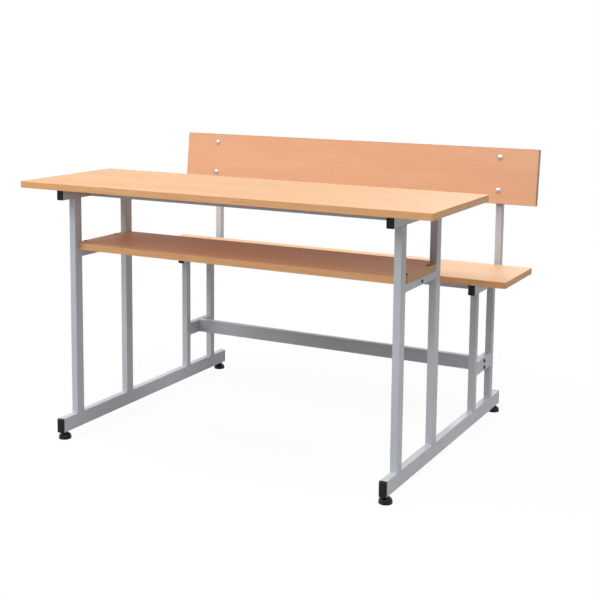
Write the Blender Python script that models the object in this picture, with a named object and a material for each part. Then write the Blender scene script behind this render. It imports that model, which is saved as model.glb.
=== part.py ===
"""Two-seat school desk with its bench attached, in metres, +Z up.

X runs along the boards. Y runs from the desk's outer edge back to the bench's backrest.
Places are worked out from the desk's outer edge and the floor. One empty then moves all
the pieces so that the origin is on the floor, below the middle of the overall depth.
"""
import math

import bmesh
import bpy

# Clearances
touching_gap = 0.0003
thread_clearance = 0.0003
cutter_overrun = 0.002

# Boards
board_length = 1.200
board_thickness = 0.018
board_overhang = 0.105
board_edge_round = 0.0008
desk_depth = 0.400
desk_height = 0.717
shelf_height = 0.542
seat_depth = 0.250
seat_height = 0.458
knee_gap = 0.165
back_width = 0.165
back_lower_edge = 0.634
back_recline = math.radians(6.3)

# Shelf, which ends level with the rear posts' backs and whose corners clear the posts
shelf_behind_post_face = 0.016
shelf_notch_gap = 0.014
shelf_notch_side_gap = 0.002
shelf_rear_gap = 0.002

# Tubes, all equally wide across the frame
tube_width = 0.020
tube_wall = 0.0015
tube_corner = 0.002
runner_height = 0.040
desk_post_depth = 0.030
bench_post_depth = 0.020
back_post_depth = 0.020
desk_rail_height = 0.030
shelf_rail_height = 0.020
seat_rail_height = 0.040
cross_member_height = 0.040
stretcher_depth = 0.020
brace_height = 0.040
back_bend_radius = 0.060

# Where the tubes stand along the depth
runner_nose_setback = 0.008
runner_tail = 0.010
desk_rail_front_setback = 0.025
desk_rail_rear_setback = 0.012
front_post_inset = 0.051
rear_post_inset = 0.046
seat_rail_setback = 0.054
bench_front_post_inset = 0.021
bench_rear_post_inset = 0.009
back_post_gap = 0.032
cross_member_underside = 0.159
desk_stretcher_offset = 0.039
shelf_stretcher_offset = 0.096
seat_stretcher_offset = 0.040

# Backrest board on its sloping posts
back_rise_above_bend = 0.004
back_post_top_drop = 0.015
back_bolt_lower_inset = 0.038
back_bolt_upper_inset = 0.029

# Plastic caps
runner_cap_nose = 0.009
runner_cap_round = 0.004
runner_plug_length = 0.024
rail_cap_nose = 0.002
rail_cap_round = 0.001
rail_plug_length = 0.010

# Screw-in levelling feet
foot_height = 0.020
foot_inset = 0.014
pad_radius = 0.0175
pad_rim_height = 0.005
pad_edge_round = 0.0012
pad_shoulder_height = 0.0145
pad_neck_radius = 0.0085
pad_floor = 0.006
stem_radius = 0.004
stem_length_in_runner = 0.030
stem_bore_end_gap = 0.0035
stem_tip_chamfer = 0.001

# Screws that hold the desk top and the seat to their rails
screw_radius = 0.0025
screw_head_radius = 0.0055
screw_head_height = 0.003
screw_reach = 0.012
screw_tip_length = 0.004
screw_tip_radius = 0.0006
desk_screw_front_inset = 0.063
desk_screw_rear_inset = 0.035
seat_screw_front_inset = 0.111
seat_screw_rear_inset = 0.025

# Bolts
bolt_radius = 0.003
brace_bolt_head_radius = 0.006
brace_bolt_head_height = 0.0035
brace_bolt_pitch = 0.019
brace_bolt_stickout = 0.003
end_plate_thickness = 0.005
end_plate_recess = 0.001
back_bolt_head_radius = 0.008
back_bolt_head_height = 0.004
nut_radius = 0.0058
nut_height = 0.005
nut_stickout = 0.002

# Counts of faces on the round shapes, and the bend that still counts as smooth
corner_steps = 2
pad_steps = 20
fastener_steps = 12
quarter_steps = 3
bend_steps = 4
smooth_angle = math.radians(50)

# Heights of the frame's joints
runner_top = foot_height + runner_height
desk_underside = desk_height - board_thickness
shelf_underside = shelf_height - board_thickness
seat_underside = seat_height - board_thickness
desk_rail_base = desk_underside - touching_gap - desk_rail_height
shelf_rail_base = shelf_underside - touching_gap - shelf_rail_height
seat_rail_base = seat_underside - touching_gap - seat_rail_height
seat_rail_top = seat_rail_base + seat_rail_height
brace_base = cross_member_underside + (cross_member_height - brace_height) / 2

# Places along the depth, from the desk's outer edge
desk_rail_front = desk_rail_front_setback + rail_cap_nose
desk_rail_rear = desk_depth - desk_rail_rear_setback
front_post_face = desk_rail_front_setback + front_post_inset
front_post_rear = front_post_face + desk_post_depth
rear_post_face = desk_rail_rear - rear_post_inset - desk_post_depth
shelf_front = front_post_face + shelf_behind_post_face
shelf_rear = rear_post_face + desk_post_depth
shelf_end_front = front_post_rear + shelf_notch_gap
shelf_end_rear = rear_post_face - shelf_rear_gap
seat_front = desk_depth + knee_gap
seat_rear = seat_front + seat_depth
seat_rail_front = seat_front + seat_rail_setback + rail_cap_nose
bench_front_post_face = seat_front + seat_rail_setback + bench_front_post_inset
bench_front_post_rear = bench_front_post_face + bench_post_depth
bench_rear_post_face = seat_rear - bench_rear_post_inset - bench_post_depth
back_post_face = seat_rear + back_post_gap
back_post_middle = back_post_face + back_post_depth / 2
back_post_rear = back_post_face + back_post_depth
back_slope_face = (
    back_post_middle + back_bend_radius * (1 - math.cos(back_recline))
    - (back_post_depth / 2 + touching_gap) * math.cos(back_recline)
)
back_bolt_end = (
    back_slope_face
    + (back_rise_above_bend + back_width - back_bolt_upper_inset + bolt_radius) * math.sin(back_recline)
    + (back_post_depth + 2 * touching_gap + nut_height + nut_stickout) * math.cos(back_recline)
)
runner_front = runner_nose_setback + runner_cap_nose
runner_rear = back_post_rear + runner_tail - runner_cap_nose
overall_depth = max(back_bolt_end, runner_rear + runner_cap_nose)
desk_stretcher_face = front_post_rear + desk_stretcher_offset
shelf_stretcher_face = front_post_rear + shelf_stretcher_offset
seat_stretcher_face = bench_front_post_rear + seat_stretcher_offset
brace_middle = (bench_front_post_rear + bench_rear_post_face) / 2

# Places across the width
frame_outside = board_length / 2 - board_overhang
frame_centre = frame_outside - tube_width / 2
frame_inside = frame_outside - tube_width
stretcher_half_length = frame_inside - touching_gap

sides = (("left", -1), ("right", 1))


# Scene, materials and objects

def clear_scene():
    """Remove whatever the file already holds."""
    for item in list(bpy.data.objects):
        bpy.data.objects.remove(item, do_unlink=True)


def finish(name, colour, roughness, metallic):
    """A plain Principled material."""
    material = bpy.data.materials.new(name)
    material.use_nodes = True
    shader = material.node_tree.nodes["Principled BSDF"]
    shader.inputs["Base Color"].default_value = (*colour, 1)
    shader.inputs["Roughness"].default_value = roughness
    shader.inputs["Metallic"].default_value = metallic
    material.diffuse_color = (*colour, 1)
    return material


def placed(name, data, parent, location, rotation):
    """Link an object under its parent."""
    item = bpy.data.objects.new(name, data)
    bpy.context.collection.objects.link(item)
    item.parent = parent
    item.location = location
    item.rotation_euler = rotation
    return item


clear_scene()
laminate = finish("beech_laminate", (0.78, 0.52, 0.32), 0.45, 0)
grey_steel = finish("grey_powder_coat", (0.40, 0.41, 0.43), 0.42, 0.3)
black_plastic = finish("black_plastic", (0.015, 0.015, 0.017), 0.5, 0)
bright_steel = finish("zinc_plated_steel", (0.62, 0.62, 0.60), 0.32, 1)
desk_origin = placed("desk_origin", None, None, (0, -overall_depth / 2, 0), (0, 0, 0))


def finished_mesh(mesh, name):
    """Turn the faces outward and hand back the mesh data."""
    bmesh.ops.recalc_face_normals(mesh, faces=mesh.faces)
    data = bpy.data.meshes.new(name)
    mesh.to_mesh(data)
    mesh.free()
    return data


def piece(name, mesh, material, location=(0, 0, 0), parent=desk_origin, rotation=(0, 0, 0)):
    """A named, placed object of a built shape, smooth but for its sharp edges."""
    item = placed(name, finished_mesh(mesh, name), parent, location, rotation)
    item.data.materials.append(material)
    item.data.shade_smooth()
    item.data.set_sharp_from_angle(angle=smooth_angle)
    return item


def cutter(name, mesh, location=(0, 0, 0), parent=desk_origin, rotation=(0, 0, 0)):
    """A shape that only cuts or joins others, and isn't a piece itself."""
    item = placed(name, finished_mesh(mesh, name), parent, location, rotation)
    item.hide_render = True
    item.display_type = "WIRE"
    return item


def combine(item, other, operation="DIFFERENCE"):
    """Cut a cutter's shape out of an object, or weld it on."""
    change = item.modifiers.new(other.name, "BOOLEAN")
    change.operation = operation
    change.solver = "EXACT"
    change.object = other


# Closed shapes made of sections

def rounded_section(width, height, radius):
    """Corner-rounded rectangle as a closed loop of points."""
    points = []
    corners = ((1, 1, 0), (-1, 1, 1), (-1, -1, 2), (1, -1, 3))
    for sign_x, sign_y, quarter in corners:
        centre_x = sign_x * (width / 2 - radius)
        centre_y = sign_y * (height / 2 - radius)
        for step in range(corner_steps + 1):
            angle = (quarter + step / corner_steps) * math.pi / 2
            points.append((centre_x + radius * math.cos(angle), centre_y + radius * math.sin(angle)))
    return points


def circle_section(radius, steps=fastener_steps):
    """Circle as a closed loop of points."""
    angles = [2 * math.pi * step / steps for step in range(steps)]
    return [(radius * math.cos(angle), radius * math.sin(angle)) for angle in angles]


def hexagon_section(radius):
    """Hexagon with as many points as a fastener's circle."""
    points = []
    for step in range(fastener_steps):
        angle = 2 * math.pi * step / fastener_steps
        past_middle = angle % (math.pi / 3) - math.pi / 6
        reach = radius * math.cos(math.pi / 6) / math.cos(past_middle)
        points.append((reach * math.cos(angle), reach * math.sin(angle)))
    return points


def in_direction(direction, across, up, along):
    """Turn a section's coordinates into the piece's own axes."""
    if direction == "X":
        return (along, across, up)
    if direction == "Y":
        return (across, along, up)
    return (across, up, along)


def add_rings(mesh, rings, ring_closed=False):
    """Skin a stack of rings, closed by end faces or back onto its first ring."""
    loops = [[mesh.verts.new(point) for point in ring] for ring in rings]
    pairs = list(zip(loops, loops[1:]))
    if ring_closed:
        pairs.append((loops[-1], loops[0]))
    else:
        mesh.faces.new(list(reversed(loops[0])))
        mesh.faces.new(loops[-1])
    for low, high in pairs:
        for index in range(len(low)):
            following = (index + 1) % len(low)
            mesh.faces.new((low[index], low[following], high[following], high[index]))


def add_sections(mesh, stops, direction="Z", centre=(0, 0, 0), ring_closed=False):
    """Skin a list of sections, each with its place along the direction."""
    rings = []
    for section, along in stops:
        offsets = [in_direction(direction, across, up, along) for across, up in section]
        rings.append([tuple(base + shift for base, shift in zip(centre, offset)) for offset in offsets])
    add_rings(mesh, rings, ring_closed)


def turned(profile, steps=fastener_steps):
    """Sections of a turned shape, from radius and height pairs."""
    return [(circle_section(radius, steps), along) for radius, along in profile]


def quarter_round(start_radius, end_radius, start, end):
    """Radius and height pairs that curve from upright at the start to level at the end."""
    pairs = []
    for step in range(quarter_steps + 1):
        turn = step / quarter_steps * math.pi / 2
        radius = end_radius + (start_radius - end_radius) * math.cos(turn)
        pairs.append((radius, start + (end - start) * math.sin(turn)))
    return pairs


# Tubes

def tube(name, direction, width, height, length, location):
    """Straight open tube. Its origin is the middle of its first end."""
    outer = rounded_section(width, height, tube_corner)
    inner = rounded_section(width - 2 * tube_wall, height - 2 * tube_wall, tube_corner - tube_wall)
    mesh = bmesh.new()
    stops = ((outer, 0), (outer, length), (inner, length), (inner, 0))
    add_sections(mesh, stops, direction, ring_closed=True)
    return piece(name, mesh, grey_steel, location)


def post(name, x, face, depth, base, top):
    """Upright tube between two heights, less the gap at each weld."""
    length = top - base - 2 * touching_gap
    return tube(name, "Z", tube_width, depth, length, (x, face + depth / 2, base + touching_gap))


def rail(name, x, front, rear, base, height):
    """Tube that runs along the depth."""
    return tube(name, "Y", tube_width, height, rear - front, (x, front, base + height / 2))


def stretcher(name, middle, base, height):
    """Tube that runs between the two side frames."""
    place = (-stretcher_half_length, middle, base + height / 2)
    return tube(name, "X", stretcher_depth, height, 2 * stretcher_half_length, place)


def back_post_stops():
    """Depth, height and lean of the bent post's centre line, counted from its base."""
    bend_end = (
        back_lower_edge - seat_rail_top - touching_gap
        - (back_post_depth / 2 + touching_gap) * math.sin(back_recline)
        - back_rise_above_bend * math.cos(back_recline)
    )
    bend_start = bend_end - back_bend_radius * math.sin(back_recline)
    stops = [(0, 0, 0)]
    for step in range(bend_steps + 1):
        lean = back_recline * step / bend_steps
        depth = back_bend_radius * (1 - math.cos(lean))
        stops.append((depth, bend_start + back_bend_radius * math.sin(lean), lean))
    depth, height, lean = stops[-1]
    slope = back_rise_above_bend + back_width - back_post_top_drop
    stops.append((depth + slope * math.sin(lean), height + slope * math.cos(lean), lean))
    return stops


def leaning_ring(section, depth, height, lean):
    """A section of the bent post, square to its centre line."""
    return [(across, depth + up * math.cos(lean), height - up * math.sin(lean)) for across, up in section]


def back_post(name, x):
    """Post that rises from the seat rail and leans back behind the backrest."""
    outer = rounded_section(tube_width, back_post_depth, tube_corner)
    inner = rounded_section(
        tube_width - 2 * tube_wall, back_post_depth - 2 * tube_wall, tube_corner - tube_wall
    )
    stops = back_post_stops()
    rings = [leaning_ring(outer, *stop) for stop in stops]
    rings += [leaning_ring(inner, *stop) for stop in reversed(stops)]
    mesh = bmesh.new()
    add_rings(mesh, rings, ring_closed=True)
    piece(name, mesh, grey_steel, (x, back_post_middle, seat_rail_top + touching_gap))


def side_frame(side, x):
    """The ten welded tubes of one side frame."""
    rail(side + "_runner", x, runner_front, runner_rear, foot_height, runner_height)
    post(side + "_desk_front_post", x, front_post_face, desk_post_depth, runner_top, desk_rail_base)
    post(side + "_desk_rear_post", x, rear_post_face, desk_post_depth, runner_top, desk_rail_base)
    rail(side + "_desk_rail", x, desk_rail_front, desk_rail_rear, desk_rail_base, desk_rail_height)
    shelf_rail_ends = (front_post_rear + touching_gap, rear_post_face - touching_gap)
    rail(side + "_shelf_rail", x, *shelf_rail_ends, shelf_rail_base, shelf_rail_height)
    post(side + "_bench_front_post", x, bench_front_post_face, bench_post_depth, runner_top, seat_rail_base)
    post(side + "_bench_rear_post", x, bench_rear_post_face, bench_post_depth, runner_top, seat_rail_base)
    rail(side + "_seat_rail", x, seat_rail_front, back_post_rear, seat_rail_base, seat_rail_height)
    member_ends = (bench_front_post_rear + touching_gap, bench_rear_post_face - touching_gap)
    rail(side + "_cross_member", x, *member_ends, cross_member_underside, cross_member_height)
    back_post(side + "_backrest_post", x)


def long_tubes():
    """The three stretchers under the boards, and the foot brace with a plate in each end."""
    half = stretcher_depth / 2
    stretcher("desk_stretcher", desk_stretcher_face + half, desk_rail_base, desk_rail_height)
    stretcher("shelf_stretcher", shelf_stretcher_face + half, shelf_rail_base, shelf_rail_height)
    stretcher("seat_stretcher", seat_stretcher_face + half, seat_rail_base, seat_rail_height)
    brace = stretcher("foot_brace", brace_middle, brace_base, brace_height)
    section = rounded_section(stretcher_depth - tube_wall, brace_height - tube_wall, tube_corner - tube_wall)
    plates = bmesh.new()
    for _, sign in sides:
        outer = sign * (stretcher_half_length - end_plate_recess)
        add_sections(plates, ((section, outer), (section, outer - sign * end_plate_thickness)), "X")
    place = (0, brace_middle, brace_base + brace_height / 2)
    combine(brace, cutter("foot_brace_end_plates", plates, place), "UNION")


# Plastic caps

def cap(name, outward, height, nose, edge_round, plug_length, location):
    """Plug and rounded nose that close a tube's end. Its origin is the middle of that end."""
    side_gap = tube_wall + touching_gap
    plug = rounded_section(tube_width - 2 * side_gap, height - 2 * side_gap, tube_corner - tube_wall)
    body = rounded_section(tube_width, height, tube_corner)
    stops = [(plug, -outward * plug_length), (plug, outward * touching_gap), (body, outward * touching_gap)]
    for inset, along in quarter_round(0, edge_round, nose - edge_round, nose):
        section = rounded_section(tube_width - 2 * inset, height - 2 * inset, tube_corner)
        stops.append((section, outward * along))
    mesh = bmesh.new()
    add_sections(mesh, stops, "Y")
    return piece(name, mesh, black_plastic, location)


def end_caps(side, x):
    """The caps of one side frame that show below the boards."""
    shape = (runner_cap_nose, runner_cap_round, runner_plug_length)
    for end, outward, y in (("front", -1, runner_front), ("rear", 1, runner_rear)):
        place = (x, y, foot_height + runner_height / 2)
        cap(side + "_runner_" + end + "_cap", outward, runner_height, *shape, place)
    shape = (rail_cap_nose, rail_cap_round, rail_plug_length)
    rails = (
        ("_desk_rail_cap", desk_rail_front, desk_rail_base, desk_rail_height),
        ("_seat_rail_cap", seat_rail_front, seat_rail_base, seat_rail_height),
    )
    for name, y, base, height in rails:
        cap(side + name, -1, height, *shape, (x, y, base + height / 2))


# Levelling feet

def levelling_feet(side, x):
    """Pads, threaded stems and their bores. Origins are on the stems' axes, on the floor."""
    socket_radius = stem_radius + touching_gap
    bore_radius = stem_radius + thread_clearance
    pad_top = foot_height - touching_gap
    stem_top = foot_height + stem_length_in_runner
    pad_profile = [
        (pad_radius - pad_edge_round, 0), (pad_radius, pad_edge_round),
        *quarter_round(pad_radius, pad_neck_radius, pad_rim_height, pad_shoulder_height),
        (pad_neck_radius, pad_top), (socket_radius, pad_top), (socket_radius, pad_floor),
    ]
    stem_base = pad_floor + touching_gap
    stem_profile = [
        (stem_radius - stem_tip_chamfer, stem_base), (stem_radius, stem_base + stem_tip_chamfer),
        (stem_radius, stem_top - stem_tip_chamfer), (stem_radius - stem_tip_chamfer, stem_top),
    ]
    bore_profile = [(bore_radius, pad_top), (bore_radius, stem_top + stem_bore_end_gap)]
    for end, y in (("front", runner_front + foot_inset), ("rear", runner_rear - foot_inset)):
        name = side + "_" + end + "_foot"
        pad, stem, bore = bmesh.new(), bmesh.new(), bmesh.new()
        add_sections(pad, turned(pad_profile, pad_steps))
        add_sections(stem, turned(stem_profile))
        add_sections(bore, turned(bore_profile))
        piece(name + "_pad", pad, black_plastic, (x, y, 0))
        piece(name + "_stem", stem, bright_steel, (x, y, 0))
        hole = cutter(name + "_bore", bore, (x, y, 0))
        combine(bpy.data.objects[side + "_runner"], hole)
        combine(bpy.data.objects[side + "_runner_" + end + "_cap"], hole)


# Boards

def board(name, length, depth, location, notch=None, parent=desk_origin, rotation=(0, 0, 0)):
    """Laminated board. Its origin is the middle of its front upper edge.

    A notch, where given, is how far the corners are cut back in length, and where each end
    then starts and stops along the depth.
    """
    half = length / 2
    outline = [(half, depth), (-half, depth), (-half, 0), (half, 0)]
    if notch:
        notch_length, end_start, end_stop = notch
        inner = half - notch_length
        outline = [
            (inner, depth), (-inner, depth), (-inner, end_stop), (-half, end_stop),
            (-half, end_start), (-inner, end_start), (-inner, 0),
            (inner, 0), (inner, end_start), (half, end_start), (half, end_stop), (inner, end_stop),
        ]
    mesh = bmesh.new()
    add_sections(mesh, ((outline, -board_thickness), (outline, 0)))
    item = piece(name, mesh, laminate, location, parent, rotation)
    softening = item.modifiers.new("softened_edges", "BEVEL")
    softening.width = board_edge_round
    softening.segments = 1
    return item


def screwed_board(name, board_item, location, rows, rail_name):
    """Countersunk screws from a board into both rails, with the holes that they pass."""
    tip = -board_thickness - screw_reach
    profile = [
        (screw_tip_radius, tip), (screw_radius, tip + screw_tip_length),
        (screw_radius, -screw_head_height), (screw_head_radius, -touching_gap), (screw_head_radius, 0),
    ]
    hole_end = -board_thickness - touching_gap - tube_wall - cutter_overrun
    hole_profile = [
        (screw_radius + touching_gap, hole_end), (screw_radius + touching_gap, -screw_head_height),
        (screw_head_radius + touching_gap, -touching_gap), (screw_head_radius + touching_gap, cutter_overrun),
    ]
    holes = bmesh.new()
    for side, sign in sides:
        for end, inset in zip(("front", "rear"), rows):
            offset = (sign * frame_centre, inset, 0)
            screw = bmesh.new()
            add_sections(screw, turned(profile))
            place = tuple(base + shift for base, shift in zip(location, offset))
            piece(side + "_" + end + "_" + name + "_screw", screw, bright_steel, place)
            add_sections(holes, turned(hole_profile), centre=offset)
    hole = cutter(name + "_screw_holes", holes, location)
    combine(board_item, hole)
    for side, _ in sides:
        combine(bpy.data.objects[side + rail_name], hole)


def seats_and_tops():
    """Desk top, book shelf and seat."""
    place = (0, 0, desk_height)
    item = board("desk_top", board_length, desk_depth, place)
    rows = (desk_screw_front_inset, desk_depth - desk_screw_rear_inset)
    screwed_board("top", item, place, rows, "_desk_rail")

    notch = (tube_width + shelf_notch_side_gap, shelf_end_front - shelf_front, shelf_end_rear - shelf_front)
    board("book_shelf", 2 * frame_outside, shelf_rear - shelf_front, (0, shelf_front, shelf_height), notch)

    place = (0, seat_front, seat_height)
    item = board("seat_board", board_length, seat_depth, place)
    rows = (seat_screw_front_inset, seat_depth - seat_screw_rear_inset)
    screwed_board("seat", item, place, rows, "_seat_rail")


# Bolts

def domed_bolt(shank_length, head_radius, head_height):
    """Sections of a bolt whose domed head stands on the height zero."""
    crown = quarter_round(head_radius, bolt_radius, touching_gap, head_height)
    return turned([(bolt_radius, -shank_length), (bolt_radius, touching_gap), *crown])


def backrest():
    """Backrest board, and the coach bolts and nuts that hold it to the two posts."""
    _, height, lean = back_post_stops()[-2]
    reach = back_post_depth / 2 + touching_gap
    slope_place = (0, back_slope_face, seat_rail_top + touching_gap + height + reach * math.sin(lean))
    slope = placed("backrest_slope", None, desk_origin, slope_place, (-lean, 0, 0))
    upright = (math.pi / 2, 0, 0)
    face = (0, -board_thickness, back_rise_above_bend)
    item = board("backrest_board", board_length, back_width, face, None, slope, upright)

    through = board_thickness + touching_gap + back_post_depth
    nut_face = -through - touching_gap
    nut = hexagon_section(nut_radius)
    head = domed_bolt(-nut_face, back_bolt_head_radius, back_bolt_head_height)
    tail = turned([(bolt_radius, nut_face - nut_height - nut_stickout), (bolt_radius, nut_face - nut_height)])
    stops = [*tail, (nut, nut_face - nut_height), (nut, nut_face), *head]
    hole_radius = bolt_radius + thread_clearance
    hole_stops = turned([(hole_radius, -through - cutter_overrun), (hole_radius, cutter_overrun)])
    holes = bmesh.new()
    for side, sign in sides:
        rows = (("lower", back_bolt_lower_inset), ("upper", back_width - back_bolt_upper_inset))
        for level, inset in rows:
            bolt = bmesh.new()
            add_sections(bolt, stops)
            place = (sign * frame_centre, face[1], face[2] + inset)
            piece(side + "_" + level + "_backrest_bolt", bolt, bright_steel, place, slope, upright)
            add_sections(holes, hole_stops, centre=(sign * frame_centre, inset, 0))
    hole = cutter("backrest_bolt_holes", holes, face, slope, upright)
    combine(item, hole)
    for side, _ in sides:
        combine(bpy.data.objects[side + "_backrest_post"], hole)


def brace_bolts():
    """Bolts from the outside of each cross-member into the plates in the foot brace."""
    shank_length = tube_width + touching_gap + end_plate_recess + end_plate_thickness + brace_bolt_stickout
    stops = domed_bolt(shank_length, brace_bolt_head_radius, brace_bolt_head_height)
    hole_radius = bolt_radius + thread_clearance
    holes = bmesh.new()
    place = (0, brace_middle, brace_base + brace_height / 2)
    for side, sign in sides:
        outward = [(section, sign * along) for section, along in stops]
        ends = (frame_outside + cutter_overrun, frame_outside - shank_length - cutter_overrun)
        hole_stops = turned([(hole_radius, sign * end) for end in ends])
        for level, rise in (("lower", -brace_bolt_pitch / 2), ("upper", brace_bolt_pitch / 2)):
            bolt = bmesh.new()
            add_sections(bolt, outward, "X")
            bolt_place = (sign * frame_outside, place[1], place[2] + rise)
            piece(side + "_" + level + "_brace_bolt", bolt, bright_steel, bolt_place)
            add_sections(holes, hole_stops, "X", (0, 0, rise))
    hole = cutter("brace_bolt_holes", holes, place)
    combine(bpy.data.objects["foot_brace"], hole)
    for side, _ in sides:
        combine(bpy.data.objects[side + "_cross_member"], hole)


def main():
    """Build the whole desk."""
    for side, sign in sides:
        side_frame(side, sign * frame_centre)
        end_caps(side, sign * frame_centre)
        levelling_feet(side, sign * frame_centre)
    long_tubes()
    seats_and_tops()
    backrest()
    brace_bolts()


main()
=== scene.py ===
"""Two-seat school desk with its bench attached: boards, tubes, caps, feet and fasteners, dressed.

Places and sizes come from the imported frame, in metres. The sidebar's settings hold what is free:
edging, weld beads, threads, colours and light. X runs along the boards, Y back to the backrest.
"""
import math
from collections import namedtuple

import bmesh
import bpy
from bpy.props import FloatProperty, FloatVectorProperty, IntProperty, PointerProperty
from mathutils import Matrix, Vector


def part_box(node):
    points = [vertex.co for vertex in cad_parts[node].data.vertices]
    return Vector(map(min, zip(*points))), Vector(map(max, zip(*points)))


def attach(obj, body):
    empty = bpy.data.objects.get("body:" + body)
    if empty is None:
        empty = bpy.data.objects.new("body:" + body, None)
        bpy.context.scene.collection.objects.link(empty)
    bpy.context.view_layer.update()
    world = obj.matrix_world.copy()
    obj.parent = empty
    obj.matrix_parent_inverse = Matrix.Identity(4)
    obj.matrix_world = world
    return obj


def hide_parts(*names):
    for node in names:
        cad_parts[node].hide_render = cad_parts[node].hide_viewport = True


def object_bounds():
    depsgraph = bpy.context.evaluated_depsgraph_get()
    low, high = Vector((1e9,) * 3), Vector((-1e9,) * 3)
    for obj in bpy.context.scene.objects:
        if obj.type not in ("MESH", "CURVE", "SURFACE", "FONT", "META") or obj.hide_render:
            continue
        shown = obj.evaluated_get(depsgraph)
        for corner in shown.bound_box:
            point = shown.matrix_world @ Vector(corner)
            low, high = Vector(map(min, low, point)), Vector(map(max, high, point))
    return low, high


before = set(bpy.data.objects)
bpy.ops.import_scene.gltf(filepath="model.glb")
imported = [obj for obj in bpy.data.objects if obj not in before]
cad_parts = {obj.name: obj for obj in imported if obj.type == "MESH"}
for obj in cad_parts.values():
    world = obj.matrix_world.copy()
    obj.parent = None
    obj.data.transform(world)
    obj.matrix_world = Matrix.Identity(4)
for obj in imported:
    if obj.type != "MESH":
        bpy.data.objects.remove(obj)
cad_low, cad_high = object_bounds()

bl_info = {
    "name": "School desk with bench",
    "version": (1, 0, 0),
    "blender": (4, 5, 0),
    "location": "3D View > Sidebar > School desk",
    "description": "Dresses the packed school desk in its real finishes",
    "category": "Object",
}

desk_body = "desk"
sides = (("left", -1), ("right", 1))
ends = ("front", "rear")
levels = ("lower", "upper")
corner_names = [f"{side}_{end}" for side, _ in sides for end in ends]
backrest_bolts = [f"{side}_{level}_backrest_bolt" for side, _ in sides for level in levels]
posts_on_runner = {
    "desk_front_post": "desk_rail",
    "desk_rear_post": "desk_rail",
    "bench_front_post": "seat_rail",
    "bench_rear_post": "seat_rail",
}
# Each board has a stretch of grain of its own
grain_seeds = {"desk_top": 1.0, "seat_board": 12.0, "book_shelf": 23.0, "backrest_board": 34.0}
# Gap between two faces that would otherwise meet
hairline = 0.00005
# How far a cutter stands out past the face that it cuts
cut_overrun = 0.001
# Edges whose faces turn by more than this stay sharp
smooth_angle = math.radians(32)
white = (1.0, 1.0, 1.0)


# Settings that a user would change

def setting(kind, **shared):
    """Maker of settings of one kind. Each has a label, a description and a default."""
    return lambda label, text, default: kind(name=label, description=text, default=default, **shared)


length = setting(FloatProperty, min=0, precision=5, unit="LENGTH")
share = setting(FloatProperty, min=0, precision=3, subtype="FACTOR")
count = setting(IntProperty, min=2)
paint = setting(FloatVectorProperty, size=3, min=0, max=1, subtype="COLOR")
angle_of = setting(FloatProperty, precision=4, subtype="ANGLE", unit="ROTATION")
position = setting(FloatVectorProperty, size=3, unit="LENGTH")
power = setting(FloatProperty, min=0, unit="POWER")
pixels = setting(FloatProperty, min=0, subtype="PIXEL")
millimetres = setting(FloatProperty, min=0, unit="CAMERA")


class BoardSettings(bpy.types.PropertyGroup):
    """Laminated boards and their edging."""

    band_thickness: length("Edging thickness", "Plastic strip glued round each board", 0.001)
    band_round: length("Edging round", "Rounded arris of the edging", 0.0008)
    band_drop: length("Edging drop", "How far the edging lies below the laminate", 0.00005)
    corner_round: length("Corner round", "Radius of a board's corners seen from above", 0.0025)
    arc_steps: count("Arc steps", "Faces round each board corner", 8)
    round_steps: count("Round steps", "Faces over each arris", 5)
    post_gap: length("Post gap", "Gap between the shelf's cut corners and the posts", 0.002)
    front_post_gap: length("Front post gap", "Gap between the front posts and the shelf's ends", 0.014)
    # The boards are one laminate, but each gets its own colour, fitted to how brightly it is lit: the
    # differences between these colours are painted light and shade.
    top_colour: paint("Top laminate", "Laminate of the desk top", (0.71, 0.43, 0.24))
    seat_colour: paint("Seat laminate", "Laminate of the seat", (0.80, 0.51, 0.295))
    # The shelf's colour is the darkest: painted shade from the desk top above it.
    shelf_shaded_colour: paint("Shelf laminate", "Laminate of the book shelf", (0.69, 0.35, 0.19))
    back_colour: paint("Backrest laminate", "Laminate of the backrest", (0.89, 0.485, 0.29))
    band_colour: paint("Edging colour", "Plastic of the edging", (0.88, 0.49, 0.23))
    back_band_colour: paint("Backrest edging", "Plastic of the backrest's edging", (0.52, 0.33, 0.21))
    grain: share("Grain", "How strongly the printed grain shows", 1.0)


class TubeSettings(bpy.types.PropertyGroup):
    """Welded steel tubes."""

    wall: length("Wall", "Thickness of the tube's wall", 0.0015)
    corner: length("Corner", "Outer radius of the tube's corners", 0.002)
    arc_steps: count("Arc steps", "Faces round each tube corner", 6)
    bend_radius: length("Bend radius", "Bend of the backrest posts at their middle line", 0.060)
    bend_steps: count("Bend steps", "Faces along the bend", 14)
    bead_radius: length("Bead radius", "Size of a weld bead", 0.0022)
    bead_pitch: length("Bead pitch", "Spacing of a bead's ripples", 0.0017)
    bead_ripple: share("Bead ripple", "Height of the ripples as a share of the bead's radius", 0.11)
    bead_tip: share("Bead tip", "Size of a bead's ends as a share of its radius", 0.12)
    bead_lift: share("Bead lift", "How far a bead lies out of its corner, as a share of its radius", 0.25)
    bead_sunk: share("Bead sunk", "How deep a face's bead lies, as a share of its radius", 0.80)
    bead_steps: count("Bead steps", "Faces round a bead", 10)
    ripple_steps: count("Ripple steps", "Faces along one ripple of a bead", 5)
    drain_radius: length("Drain hole", "Radius of the drain hole in each desk rail", 0.0024)
    coat_colour: paint("Powder coat", "Silver-grey powder coat", (0.62, 0.65, 0.69))


class CapSettings(bpy.types.PropertyGroup):
    """Black plastic end caps."""

    runner_nose: length("Runner nose", "How far a runner's cap stands out", 0.009)
    runner_round: length("Runner round", "Rounding of a runner's cap", 0.004)
    runner_plug: length("Runner plug", "Length inside the runner", 0.024)
    rail_nose: length("Rail nose", "How far a rail's cap stands out", 0.002)
    rail_round: length("Rail round", "Rounding of a rail's cap", 0.001)
    rail_plug: length("Rail plug", "Length inside the rail", 0.010)
    fit: length("Fit", "Gap between a plug and its tube", 0.0003)
    round_steps: count("Round steps", "Faces over the rounding", 6)
    plastic_colour: paint("Plastic", "Black moulded plastic", (0.006, 0.006, 0.007))


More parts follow.
